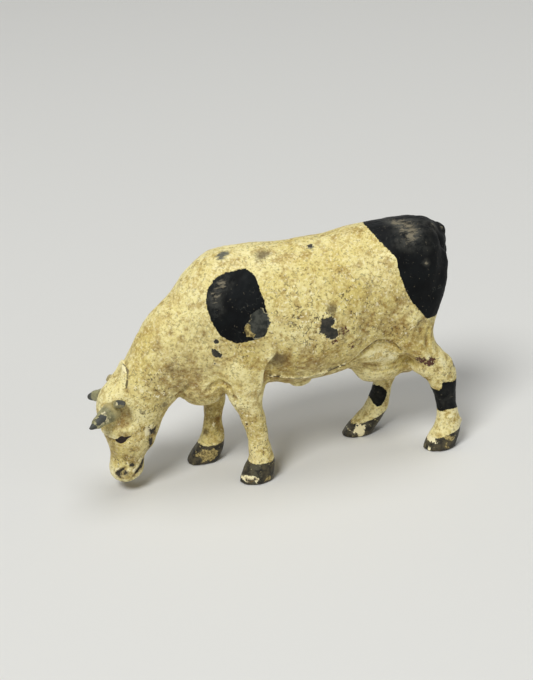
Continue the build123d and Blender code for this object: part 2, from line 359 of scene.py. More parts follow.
# Forms of the animal in the order they are carved: tool, place or line, reach and height in mm.
hindquarters = [
    (mounds, (36, -11, 43.5), 6.5, 2.6),  # udder, front lobe
    (mounds, (41.5, -10.5, 43), 6.8, 2.8),  # udder, middle lobe
    (mounds, (45.8, -11, 42), 5.2, 1.6),  # udder, rear lobe
    (ridges, udder_fold, 1.5, -1.1),
    (ridges, udder_foot, 1.4, -0.5),
    (mound, (30.5, 0, 33), 7, -1.9),  # arch before the udder
    (mounds, (56, -10, 34), 6.5, 1.8),  # inside of the hock
    (mounds, (52, -8, 33.5), 4.5, 1.6),  # join of udder and hind leg
    (mound, (39.5, 9, 21.5), 5, 1.3),  # front of the far hind leg
    (mounds, (48.9, -17.7, 57.5), 7.5, 1),  # front of the thigh
    (mounds, (53.8, -17.5, 53.5), 4, -0.9),  # dimple of the thigh
    (mounds, (55.5, -17, 43), 6, 0.6),  # muscle above the hock
    (ridges, thigh_groove, 1.9, -0.9),
    (ridges, flank_hollow, 4.5, -0.7),
    (mounds, (46, -14, 80.2), 6.5, 0.7),  # hip bone
    (mound, (52, 0, 90), 13, -0.7),  # dip behind the hips
    (mound, (67, -2.5, 75), 8, 1.9),  # rump below the tail head
    (mound, (66.5, -2, 81), 5, 1.2),  # rump beside the tail head
    (mound, (68, -3, 79), 5.5, 1.1),  # rump behind the hip groove
    (ridges, hip_groove, 1.6, -0.7),
    (ridge, tail_line, 3.6, 1.5),
]
forequarters = [
    (mound, (-29, 0, 35.5), 8, 1),  # brisket
    (mound, (-30, 8, 27), 9, 0.8),  # front of the far foreleg
    (mound, (-18.5, 9, 17), 7, -0.7),  # back of the far foreleg
    (ridges, throat_fold, 1.7, -1.5),
    (ridges, throat_cut, 1.9, -1.3),
    (ridges, breast_fold, 1.7, -0.9),
    (ridges, foreleg_fold, 1.7, -0.7),
    (mounds, (-19.5, -11, 31), 6, 1),  # front of the foreleg
    (mounds, (-4.5, -11, 31), 6.5, -0.8),  # back of the foreleg
    (elbow_ledge, elbow_fold, 6, 1.1),
    (ridges, elbow_groove, 2.6, -0.8),
    (mounds, (-12, -17, 50), 9, 0.9),  # muscle above the elbow
    (mounds, (-14, -15, 66), 13, 0.5),  # shoulder blade
    (mounds, (-24.5, -12.8, 60), 7, -0.5),  # hollow before the shoulder
    (mound, (6.5, -5, 36.5), 6.5, 1),  # belly behind the elbow
    (ridges, milk_vein, 1.2, 0.85),
    (ridges, vein_groove, 1.5, -0.5),
]
head = [
    (mound, (-62.5, 0, 19), 9, -0.7),  # bridge of the nose
    (mounds, (-48, -3, 14), 6.5, -0.7),  # underside of the jaw
    (mound, (-55.5, 0, 50), 5.5, -1.4),  # dip before the poll
    (poll_ledge, poll_edge, 7, 0.8),
    (mounds, (-56.5, -8.8, 33), 5.5, -0.9),  # temples
    (ridges, brow, 2.2, 0.45),
    (brow_ledge, brow_fold, 4.5, 0.8),
    (ridges, brow_fold, 1.1, -0.6),
    (mounds, (-57.2, -8.9, 24.8), 3.4, -0.8),  # eye sockets
    (mounds, (-57.4, -8.9, 24.8), 1.9, 0.6),  # eyeballs
    (ridges, upper_lid, 0.9, 0.4),
    (ridges, lower_lid, 0.8, 0.3),
    (mounds, (-50, -8.7, 23.5), 7, 0.7),  # cheeks
    (mounds, (-57.6, -5.6, 9.6), 2.8, 0.5),  # rims of the nostrils
    (ridges, nostril, 1.2, -0.9),
    (ridges, mouth, 1, -0.7),
]
legs = [
    (mounds, (-12.5, -12, 24), 5, 0.4),  # knees
    (mounds, (68.6, -11, 9.6), 2.2, 0.9),  # dewclaws
]

for tool, where, reach, height in (*hindquarters, *forequarters, *head, *legs):
    tool(skin, where, reach, height)
skin.relax(2, 0.4)
carved = skin.tree()


# Where the paint lies

# How far across the body a patch of paint reaches, in mm.
left_flank = (-40, -2)
right_flank = (2, 40)
both_flanks = (-40, 40)
near_leg = (-40, -4)
near_hoof = (-40, -8)
near_hoof_side = (-40, -10)
far_leg = (4, 40)
far_hoof_side = (4, 12)

# Outlines in the side view, as (along, up) points in mm.
shoulder_patch = [
    (-8.8, 83.4), (-6.3, 82.6), (-4.8, 80.4), (-3.9, 76), (-2.8, 70), (-2.9, 65), (-4.3, 60.4), (-9, 59),
    (-14.1, 58.5), (-17.6, 60.6), (-20.4, 63.4), (-22.5, 69.7), (-22.7, 74.5), (-21.2, 78.4), (-17.6, 81.7),
    (-13.2, 83),
]
rump_patch = [
    (38, 91), (40, 87.9), (41.6, 85.7), (44.1, 82.8), (46, 80.2), (46.2, 77.4), (46.8, 74), (47.7, 70),
    (49.8, 64.8), (53.2, 59.9), (55.4, 56.6), (58.2, 55.6), (64, 55.4), (80, 55.4), (80, 95), (38, 95),
]
near_hind_band = [
    (56, 24.6), (59.9, 25), (61.3, 26.2), (61.8, 28.8), (65.7, 27.8), (70, 27.4), (70, 16), (66.7, 16.3),
    (63.6, 16.8), (60.5, 15.6), (57, 15.6),
]
far_hind_patch = [(41.6, 17.6), (43.7, 19.8), (46.6, 17.2), (45, 12.4), (42.3, 12), (40.6, 14.6)]
far_flank_patch = [
    (-3, 70), (1, 77.5), (8, 81.5), (16, 79.5), (23, 80.5), (27, 73), (23, 65), (21, 57), (12, 55), (5, 59),
    (-2, 63),
]
far_neck_patch = [(-34, 65), (-30, 69.5), (-24, 68), (-22.5, 60), (-25, 54), (-30, 52.5), (-32, 58)]
dark_blot = [(-23, 56.4), (-21.2, 56.6), (-20.6, 55), (-19.5, 53.9), (-20, 52.4), (-21.4, 53), (-22.6, 55)]
worn_rivet = [
    (-5.7, 70.5), (-3.9, 70.2), (-2.4, 66.8), (-1.4, 65.3), (-3.2, 63), (-5.2, 60), (-7.8, 59.6),
    (-10.2, 61.9), (-11, 64.4), (-8.9, 66.6), (-8.3, 68.6),
]
rivet_flake = [
    (-11.2, 64.6), (-9.6, 65.4), (-9.2, 63.4), (-7.9, 61), (-8.4, 60), (-10.4, 60.6), (-11.4, 62.6),
]
flank_spot = [
    (16.1, 63.9), (20.1, 64.2), (20.7, 62), (20, 60.5), (22.2, 58.2), (21.5, 55.8), (19.4, 55.2),
    (17.5, 57.2), (15, 58.8), (15.5, 62),
]
eye_outline = [
    (-59.9, 24.3), (-58.9, 25.6), (-57.6, 26.3), (-56.4, 25.6), (-53.9, 25.9), (-55.6, 24.5), (-56.6, 23.4),
    (-57.9, 22.9), (-59.2, 23.4),
]
jaw_star = [
    (-47.4, 26.2), (-46, 25.2), (-44.2, 25.8), (-45, 24.2), (-44.9, 22), (-46.3, 23.2), (-47.5, 23.2),
    (-46.7, 24.6),
]
jaw_chip = [
    (-49.2, 26.4), (-48.2, 27.4), (-46.8, 27), (-45.9, 26), (-45.4, 23.4), (-46.6, 22.8), (-48.2, 23.8),
    (-49, 24.8),
]
jaw_edge = [(-47.4, 22), (-46.2, 21.2), (-46, 19.2), (-47, 17.8), (-48.8, 17.2), (-47.6, 18.8)]
nostril_dark = [
    (-61, 9.4), (-59.8, 10.6), (-58.2, 11.8), (-56.9, 11.9), (-57.9, 10.5), (-59.2, 9.7), (-59.4, 8.6),
    (-58.8, 7.5), (-60, 7.8),
]
mouth_dark = [
    (-51, 12.6), (-49.6, 12.4), (-51.2, 10.2), (-53.2, 8.4), (-54.8, 7.8), (-54.2, 8.9), (-52.4, 10.4),
]
near_front_chip = [
    (-16.4, 2.2), (-14.6, 3.8), (-12, 3.9), (-10.2, 2.6), (-11.4, 1.2), (-13.2, 2.1), (-14.6, 1.3),
]
near_front_break = [(-14.6, 2.3), (-12.8, 2.2), (-11.7, 2.9), (-11.1, 2.5), (-12.4, 1.7), (-14.4, 1.8)]
near_front_fleck = [(-7.6, 2.8), (-5.6, 3), (-5.8, 1.2), (-7.8, 1)]
far_front_chip = [
    (-29.4, 3.6), (-27.4, 5.6), (-25.6, 6.6), (-23.6, 5.6), (-22.3, 6.2), (-20.6, 4.6), (-21.2, 2.6),
    (-23.6, 1.2), (-25.2, 2.4), (-28.6, 0.2), (-26.8, 3),
]
near_hind_chip = [(55.9, 4.3), (57, 5.5), (58.3, 5.4), (58.3, 3.7), (56.4, 3.6)]
near_hind_scrape = [(61, 5.6), (62.6, 7), (63.8, 5.6), (66.2, 4.6), (64.8, 3.8), (62.3, 5)]
near_hind_fleck = [(61.2, 2.2), (62.2, 3.4), (63.2, 0.9), (61.3, 1.1)]
far_hind_chip = [
    (31, 3), (32.4, 2.8), (33.8, 3.9), (34.8, 5.2), (37.2, 5), (37.2, 3.8), (36.4, 1.8), (35, 0.3),
    (34.4, 0.5), (34.7, 1.8), (34.2, 2.5), (33.4, 2.4), (32.6, 1.6),
]

# Layers of paint and wear: the outlines of each one with their reach across.
patches = {
    "black": [
        (shoulder_patch, left_flank), (rump_patch, both_flanks), (near_hind_band, near_leg),
        (far_hind_patch, far_leg), (far_flank_patch, right_flank), (far_neck_patch, right_flank),
    ],
    "grey": [(worn_rivet, left_flank)],
    "bare": [(flank_spot, left_flank), (dark_blot, left_flank)],
    "pale": [
        (jaw_chip, left_flank), (near_front_chip, near_hoof_side), (near_hind_chip, near_hoof),
        (far_hind_chip, far_hoof_side),
    ],
    "tan": [
        (rivet_flake, left_flank), (far_front_chip, far_hoof_side), (near_hind_scrape, near_hoof_side),
        (near_hind_fleck, near_hoof_side), (near_front_fleck, near_hoof_side),
    ],
    "dark": [
        (jaw_star, left_flank), (jaw_edge, left_flank), (nostril_dark, both_flanks),
        (mouth_dark, both_flanks), (near_front_break, near_hoof_side),
    ],
    "eye": [(eye_outline, both_flanks)],
}

# Layers whose outlines are curves. Those of the others are broken lines.
smooth_layers = ("black", "eye")

# Thin dark lines of painted shade along the creases, each with its half width in mm, and the half width of
# the worn milk vein.
crease_shade_lines = [
    (poll_edge, 0.36), (brow_fold, 0.34), (throat_fold[2:], 0.42), (udder_fold, 0.24), (udder_foot, 0.06),
]
vein_reach = 1.7

# Small spots, as centre and radius in mm.
spots = {
    "bare": [
        ((-21.2, -15, 59.6), 0.9), ((17.2, -5.4, 85.9), 0.9), ((66.8, -12.1, 33.7), 1.3),
        ((48.5, -17.6, 68), 0.5), ((-22.4, -14, 50.4), 0.6), ((-31.8, -10, 41.6), 0.6), ((8, 13, 83), 1),
        ((30, 18, 60), 1.2), ((-14, 17, 63), 1),
    ],
    "pale": [
        ((-60.2, -5.2, 11), 0.9), ((-51.6, -5.6, 13.6), 1), ((-54.2, -6.1, 9.9), 0.8),
        ((-62, -3, 9.2), 0.7), ((-21.5, 7.3, 15.8), 0.9), ((55.6, -14.2, 1.3), 0.8), ((-27.8, 6, 5.2), 0.7),
        ((-28.6, 6, 0.5), 0.6),
    ],
    "dark": [((-15.4, -14.6, 2.7), 0.7), ((-54.9, -6.3, 12.3), 0.75), ((-57.5, -6.4, 9.7), 0.7)],
}

# Soft marks, as centre, reach in mm and strength: smudges, some of them painted shade behind the elbow, at
# the temples and on the far foreleg, soot, rust, worn black with a painted grey sheen, and the busiest
# crazing.
soft_marks = {
    "smudge_and_shade": [
        ((-2.2, -7.4, 85.4), 5, 0.7), ((1.3, -5.2, 86.3), 4.5, 0.7), ((20.2, -19.3, 66.6), 4.2, 0.9),
        ((-57, -8.8, 33), 6, 0.4), ((-0.6, -17, 49), 5.5, 0.8), ((1.5, -18.4, 51.8), 5, 0.5),
        ((23, -19.8, 59), 4.2, 0.6), ((-24.5, 8.7, 12.7), 2.5, 0.7), ((24, -19.5, 54.5), 5, 0.6),
        ((-39, -10.6, 48.6), 7, 0.42), ((-36, -11, 51), 5, 0.3), ((-41, -7.2, 34.4), 3, 0.8),
        ((-22.5, 7.5, 22), 8, 0.5), ((-21.5, 7.5, 14), 6, 0.4),
    ],
    "soot": [((-13.3, -3.8, 87.4), 4.8, 1), ((-16.5, -4.6, 86.6), 4, 0.5), ((17.8, -5.6, 85.8), 3, 0.9)],
    "rust": [
        ((52.2, -16, 40.2), 4, 0.8), ((55, -16.4, 38.2), 4.4, 0.9), ((58, -16.4, 38.4), 3.6, 0.8),
        ((24.2, -19.8, 58), 4, 0.8), ((20.5, -20, 54.4), 4, 0.8), ((27, -18.8, 51), 4, 0.8),
        ((66.5, -11, 34), 3.6, 0.7), ((-58, -3, 5.6), 5, 0.9), ((22.5, -19.8, 62.5), 2.6, 0.7),
    ],
    "wear_and_sheen": [
        ((50, -2, 89.3), 7, 0.9), ((54.5, -5.5, 88.1), 7.5, 1), ((50, -10.5, 85.2), 7, 0.7),
        ((56, -11, 83.8), 7, 0.6), ((62.9, -5.1, 86.3), 5, 0.8), ((57.1, -15.2, 76.8), 2.2, 1),
        ((-18.1, -11.8, 78.7), 5, 0.85), ((-15.1, -11.7, 80.4), 4, 0.6), ((-20.2, -13, 75), 4.4, 0.85),
        ((63.5, -14, 21.5), 7, 0.42), ((43.4, 7, 15.5), 6, 0.42), ((-19.8, -14.8, 70.6), 4, 0.6),
        ((52, 8, 86), 9, 0.8),
    ],
    "crazed": [
        ((14, -19, 64), 24, 1), ((34, -18, 64), 20, 0.7), ((-44, -9, 42), 14, 0.9),
        ((-14, -16, 52), 14, 0.6), ((-11, -15, 15), 11, 0.9), ((-14, -13, 26), 18, 0.9),
        ((62, -13, 30), 14, 0.6), ((-58, -7, 14), 9, 0.6), ((-50, -8, 26), 12, 0.8),
        ((10, 19, 64), 40, 0.9), ((46, -16, 56), 12, 0.8), ((40, -14, 43), 9, 0.6),
    ],
}
# Wear on the tail head, which also gets the painted sheen of the black
tail_wear_and_sheen = [((67.6, -1.6, 83.4), 3, 0.9), ((68.6, -1.2, 78), 2.6, 0.7)]

# Places painted darker, or paler, than their shape makes them, as centre, reach and strength. The darker ones
# are some dirt and mostly painted shade: the far foreleg, between horn and eye, under the ear, behind the
# elbow and on the thigh. The paler ones are painted highlight on the udder, the near hind leg, the cheek and
# the jaw.
darker_places_dirt_and_shade = [
    ((-37, -10, 49), 15, 0.65), ((-29, -10, 39), 10, 0.7), ((-25, 9, 20), 17, 1), ((51, -17, 53), 10, 0.75),
    ((30, -18, 70), 14, 0.25), ((-61.5, -5.5, 25.6), 3.5, 0.6), ((-55.7, -8.4, 35.4), 5, 0.7),
    ((0, -17.5, 49.5), 7, 0.5), ((-57, -7, 34), 8, 0.4), ((38, -18, 60), 16, 0.6), ((10, -16, 46), 16, 0.4),
    ((-13, -13, 24), 12, 0.5), ((-58.5, -9, 29), 5, 0.9), ((-55, -9.6, 28), 4.5, 0.6),
    ((-58, -3, 4.5), 5.5, 0.9), ((-40, -8, 62), 16, 0.25), ((-57, -4, 46), 10, 0.22),
    ((52, -16, 42), 9, 0.4), ((-57, -7, 18), 10, 0.3),
]
paler_places_highlight = [((40, -14, 43), 9, 1), ((64, -12, 13), 10, 0.8), ((-50, -9, 31), 7, 0.6), ((-46, -8, 27), 4, 0.4)]

# The line at the top of each hoof: a point on it, its slope along the body and the box that holds the leg.
hoof_lines = [
    ((-10.7, 8.3), 0, (-22, 2), (-40, 0)),
    ((-24, 7.6), 0.03, (-40, -12), (0, 40)),
    ((57.7, 4.9), 0.30, (50, 80), (-40, 0)),
    ((33.9, 4.9), 0.31, (24, 52), (0, 40)),
]

# Distances to a layer are kept only up to this far from it, in mm.
far_away = 9.0


def on_skin(line, steps=5):
    """A line drawn on the carved skin: the given one, in shorter runs that are set down on the surface."""
    line = np.asarray(line, float)
    shares = np.linspace(0, 1, steps, endpoint=False)[:, None]
    runs = [start + shares * (end - start) for start, end in zip(line[:-1], line[1:])]
    return np.asarray([tuple(carved.find_nearest(point)[0]) for point in np.concatenate([*runs, line[-1:]])])


def rounded(loop, steps=6):
    """A closed curve through the points of an outline."""
    before, after, second = (np.roll(loop, shift, axis=0) for shift in (1, -1, -2))
    curve = []
    for share in np.arange(steps) / steps:
        curve.append(
            loop + 0.5 * share * (after - before)
            + share ** 2 * (before - 2.5 * loop + 2 * after - 0.5 * second)
            + 0.5 * share ** 3 * (3 * (loop - after) + second - before)
        )
    return np.stack(curve, axis=1).reshape(-1, 2)


def loop_distance(places, loop):
    """Signed distance in mm to a closed outline, negative inside."""
    nearest = np.full(len(places), np.inf)
    inside = np.zeros(len(places), bool)
    for start, end in zip(loop, np.roll(loop, -1, axis=0)):
        run = end - start
        offset = places - start
        share = np.clip(offset @ run / (run @ run), 0, 1)
        nearest = np.minimum(nearest, np.linalg.norm(offset - share[:, None] * run, axis=1))
        if start[1] != end[1]:
            crosses = (start[1] > places[:, 1]) != (end[1] > places[:, 1])
            inside ^= crosses & (offset[:, 0] < run[0] * offset[:, 1] / run[1])
    return np.where(inside, -nearest, nearest)


def patch_distance(points, loop, across, smooth):
    """Signed distance to a patch with a smooth or a broken outline, worked out only near it."""
    distance = np.full(len(points), far_away)
    curve = np.asarray(loop, float)
    if smooth:
        curve = rounded(curve)
    places = points[:, [0, 2]]
    near = np.all((places > curve.min(axis=0) - far_away) & (places < curve.max(axis=0) + far_away), axis=1)
    outside = np.maximum(across[0] - points[near, 1], points[near, 1] - across[1])
    distance[near] = loop_distance(places[near], curve) + 2.0 * np.maximum(outside, 0)
    return distance


def nearest_of(distances):
    """The smallest of several distances at each point, kept within what counts as far away."""
    return np.clip(np.min(distances, axis=0), -far_away, far_away)


def soft_sum(points, marks):
    """How strongly soft marks colour each point, from 0 to 1."""
    total = np.zeros(len(points))
    for centre, reach, strength in marks:
        total += strength * falloff(distance_to(points, centre), reach)
    return np.clip(total, 0, 1)


def hoof_distance(points):
    """Height above the painted top edge of the hoof, negative on the hoof."""
    distance = np.full(len(points), far_away)
    for (along, height), slope, reach_along, reach_across in hoof_lines:
        mine = (points[:, 0] > reach_along[0]) & (points[:, 0] < reach_along[1])
        mine &= (points[:, 1] > reach_across[0]) & (points[:, 1] < reach_across[1])
        rise = points[:, 2] - height - slope * (points[:, 0] - along)
        distance[mine] = np.clip(rise[mine], -far_away, far_away)
    return distance


def paint(points):
    """The paint's layout at each point: signed distances in mm, and strengths from 0 to 1."""
    layout = {}
    for layer, loops in patches.items():
        distances = [patch_distance(points, loop, across, layer in smooth_layers) for loop, across in loops]
        distances += [distance_to(points, centre) - radius for centre, radius in spots.get(layer, [])]
        layout[layer] = nearest_of(distances)
    # Thin dark lines of painted shade along the creases
    layout["crease_shade"] = nearest_of([line_distance(points, on_skin(line)) - width for line, width in crease_shade_lines])
    layout["hoof"] = hoof_distance(points)
    layout["vein"] = falloff(line_distance(points, on_skin(milk_vein)), vein_reach)
    for layer, marks in soft_marks.items():
        layout[layer] = soft_sum(points, marks)
    return layout


# Materials

def colour(red, green, blue):
    """A colour given in the 0 to 255 values of a screen, as the shader takes it."""
    shares = [value / 255 for value in (red, green, blue)]
    return (*[s / 12.92 if s <= 0.04045 else ((s + 0.055) / 1.055) ** 2.4 for s in shares], 1)


class Nodes:
    """The node tree of a material or a world, built up by short calls that return sockets."""

    def __init__(self, owner):
        owner.use_nodes = True
        self.owner = owner
        self.tree = owner.node_tree

    def fill(self, node, inputs):
        """Links a node's inputs to sockets, or sets them to plain values."""
        for key, value in inputs.items():
            if isinstance(value, bpy.types.NodeSocket):
                self.tree.links.new(value, node.inputs[key])
            else:
                node.inputs[key].default_value = value

    def add(self, kind, inputs, **settings):
        """The outputs of a new node with its settings and inputs."""
        node = self.tree.nodes.new(kind)
        for key, value in settings.items():
            setattr(node, key, value)
        self.fill(node, inputs)
        return node.outputs

    def math(self, operation, *values):
        """The outcome of one operation on numbers."""
        return self.add("ShaderNodeMath", dict(enumerate(values)), operation=operation)[0]

    def attribute(self, name):
        """A value of the paint's layout."""
        return self.add("ShaderNodeAttribute", {}, attribute_name=name)["Fac"]

    def noise(self, size, detail=3.0, roughness=0.55, distortion=0.0, stretch=1.0):
        """Noise from 0 to 1 whose lumps are about the given size in mm, or drawn out along the body."""
        place = self.add("ShaderNodeTexCoord", {})["Object"]
        scale = (1.0 / stretch / MM, 1.0 / MM, 1.0 / MM)
        place = self.add("ShaderNodeVectorMath", {0: place, 1: scale}, operation="MULTIPLY")[0]
        shape = {"Scale": 0.5 / size, "Detail": detail, "Roughness": roughness, "Distortion": distortion}
        return self.add("ShaderNodeTexNoise", {"Vector": place, **shape})["Fac"]

    def band(self, value, low, high):
        """0 at low and 1 at high, with a soft step between."""
        inputs = {"Value": value, "From Min": low, "From Max": high}
        return self.add("ShaderNodeMapRange", inputs, interpolation_type="SMOOTHSTEP")["Result"]

    def level_lines(self, value, low, high):
        """1 on the lines where a noise passes its middle value, and 0 away from them."""
        return self.band(self.math("ABSOLUTE", self.math("SUBTRACT", value, 0.5)), low, high)

    def both(self, *shares):
        """The product of several shares."""
        product = shares[0]
        for share in shares[1:]:
            product = self.math("MULTIPLY", product, share)
        return product

    def mix(self, share, first, second, kind="RGBA"):
        """The first colour where the share is 0 and the second where it is 1."""
        return self.add("ShaderNodeMix", {"Factor": share, "A": first, "B": second}, data_type=kind)["Result"]

    def blend(self, share, first, second):
        """The first number where the share is 0 and the second where it is 1."""
        return self.mix(share, first, second, "FLOAT")

    def coats(self, surface, *rows):
        """The surface with coats over it, each a colour and the shares that make up its strength."""
        for tint, *shares in rows:
            surface = self.mix(self.both(*shares), surface, tint)
        return surface

    def ragged(self, layer, amount):
        """Signed distance to a layer in mm, with an edge that wanders by the given amount."""
        wander = self.math("SUBTRACT", self.noise(1.1, 3), 0.5)
        grit = self.math("SUBTRACT", self.noise(0.3, 2), 0.5)
        shifted = self.math("MULTIPLY_ADD", wander, 3.0 * amount, self.attribute(layer))
        return self.math("MULTIPLY_ADD", grit, 2.0 * amount, shifted)

    def inside(self, distance, soft=0.07):
        """1 inside an edge and 0 outside it."""
        return self.band(distance, soft, -soft)

    def spread(self, layer, pattern, low, high, gain):
        """Where a pattern shows through a soft mark: more of it where the mark is stronger."""
        strength = self.attribute(layer)
        value = self.math("MULTIPLY_ADD", strength, gain, pattern)
        return self.both(self.band(value, low, high), self.band(strength, 0, 0.2))

    def finish(self, looks, relief, depth):
        """The material, with its looks by the names of the shader's inputs and relief of a depth in mm."""
        bump = self.add("ShaderNodeBump", {"Strength": 1.0, "Distance": depth * MM, "Height": relief})
        self.fill(self.tree.nodes["Principled BSDF"], {**looks, "Normal": bump["Normal"]})
        return self.owner


def cream_paint(n):
    """Crazed cream: mottled, darker in the hollows and underneath with dirt and painted shade, paler on
    crests with painted highlight, with short dark strokes and specks.

    Gives the colour, the relief and the two patterns that other layers share.
    """
    mottle = n.noise(1.6, 5, 0.62)
    grain = n.noise(0.45, 3, 0.6)
    clouds = n.band(n.noise(3.6, 4, 0.6), 0.46, 0.68)
    # Dirt and painted shade: brown in the hollows, on faces that look down and at the listed darker places
    dirt_and_shade = n.both(n.attribute("grime_and_shade"), n.band(n.noise(1.7, 6, 0.7), 0.30, 0.70))
    # Short curved strokes: level lines of a smooth noise, broken up, most of them where the paint is crazed
    crazing = n.both(n.attribute("crazed"), n.band(n.noise(5, 3), 0.36, 0.60))
    curves = n.level_lines(n.noise(1.15, 1, 0.5, 0.6), 0.040, 0.016)
    strokes = n.both(curves, n.band(n.noise(1.2, 2), 0.51, 0.55), n.blend(crazing, 0.36, 1))
    specks = n.both(n.band(n.noise(0.55, 2, 0.5), 0.63, 0.67), n.blend(crazing, 0.40, 1))
    flakes = n.both(n.band(n.noise(0.6, 2, 0.5), 0.37, 0.31), n.blend(crazing, 0.25, 0.95))
    smudges_and_shade = n.spread("smudge_and_shade", n.noise(0.9, 6, 0.72), 0.70, 1.16, 0.74)
    soot = n.spread("soot", n.noise(0.7, 5, 0.7, stretch=2), 0.78, 1.06, 0.56)
    rust = n.spread("rust", n.noise(0.5, 4, 0.65), 0.78, 0.86, 0.44)
    rust_tones = n.mix(n.noise(0.7), colour(54, 28, 22), colour(108, 62, 42))
    vein = n.attribute("vein")
    crumbs = n.noise(0.8, 3)
    cream = n.coats(
        n.mix(n.band(n.noise(9, 4), 0.36, 0.64), colour(222, 204, 122), colour(241, 228, 158)),
        (colour(182, 148, 68), clouds, 0.36),
        (colour(152, 116, 46), n.band(mottle, 0.48, 0.66), 0.56),
        # Painted highlight on crests and at the listed pale places, partly rubbed paint
        (colour(255, 248, 206), n.attribute("crest"), n.band(mottle, 0.62, 0.40), 0.8),
        (colour(255, 248, 206), n.band(grain, 0.47, 0.34), 0.45),
        (colour(134, 106, 50), n.band(grain, 0.54, 0.68), 0.5),
        # Dirt and painted shade
        (colour(122, 84, 8), dirt_and_shade, 0.95),
        (colour(70, 54, 26), strokes, 0.9),
        (colour(60, 48, 26), specks, 0.9),
        (colour(255, 249, 214), flakes),
        # Smudges, and painted shade behind the elbow, at the temples and on the far foreleg
        (colour(96, 80, 50), smudges_and_shade, 0.8),
        (colour(52, 62, 66), soot, 0.9),
        (rust_tones, rust),
        (colour(58, 40, 22), vein, n.band(crumbs, 0.47, 0.51)),
        (colour(255, 244, 200), vein, n.band(crumbs, 0.46, 0.42)),
    )
    relief = n.math("ADD", n.both(grain, 0.35), n.both(mottle, 0.45))
    for groove, depth in ((strokes, 0.40), (specks, 0.35)):
        relief = n.math("SUBTRACT", relief, n.both(groove, depth))
    return cream, relief, mottle, grain


def black_paint(n):
    """Satin black with pale flecks, rubbed grey by hands, with a painted grey sheen where it is worn. Gives
    the colour and how far it is rubbed.
    """
    rub = n.spread("wear_and_sheen", n.noise(0.5, 5, 0.72, 0.4, stretch=2.4), 0.86, 1.02, 0.44)
    # Painted sheen: a soft grey haze in place of light on the satin black, on the rump, the shoulder and the
    # leg bands
    painted_sheen = n.both(n.attribute("wear_and_sheen"), n.band(n.noise(2.2, 5, 0.65), 0.35, 0.65))
    curves = n.level_lines(n.noise(2.6, 2, 0.5, 0.4), 0.012, 0.003)
    scratches = n.both(curves, n.band(n.noise(3.2, 2), 0.52, 0.60))
    flecks = n.band(n.noise(0.42, 2), 0.68, 0.72)
    night = n.coats(
        n.mix(n.band(n.noise(3, 4), 0.3, 0.7), colour(5, 6, 7), colour(16, 19, 20)),
        (colour(110, 112, 106), scratches, 0.14),
        # Painted sheen
        (colour(86, 86, 80), painted_sheen, 0.8),
        (colour(134, 126, 106), rub, 0.85),
        (colour(120, 112, 94), flecks, 0.5),
    )
    return night, rub


def hoof_paint(n):
    """Brown-black hooves with grey rubbed places and cream flecks."""
    rubbed = n.band(n.noise(2.4, 4), 0.54, 0.60)
    flecks = n.band(n.noise(0.6, 3, 0.6), 0.63, 0.69)
    return n.coats(
        n.mix(n.band(n.noise(1.8, 5, 0.65), 0.40, 0.62), colour(36, 34, 27), colour(82, 75, 55)),
        (colour(84, 81, 64), rubbed, 0.8),
        (colour(188, 174, 122), flecks, 0.8),
    )


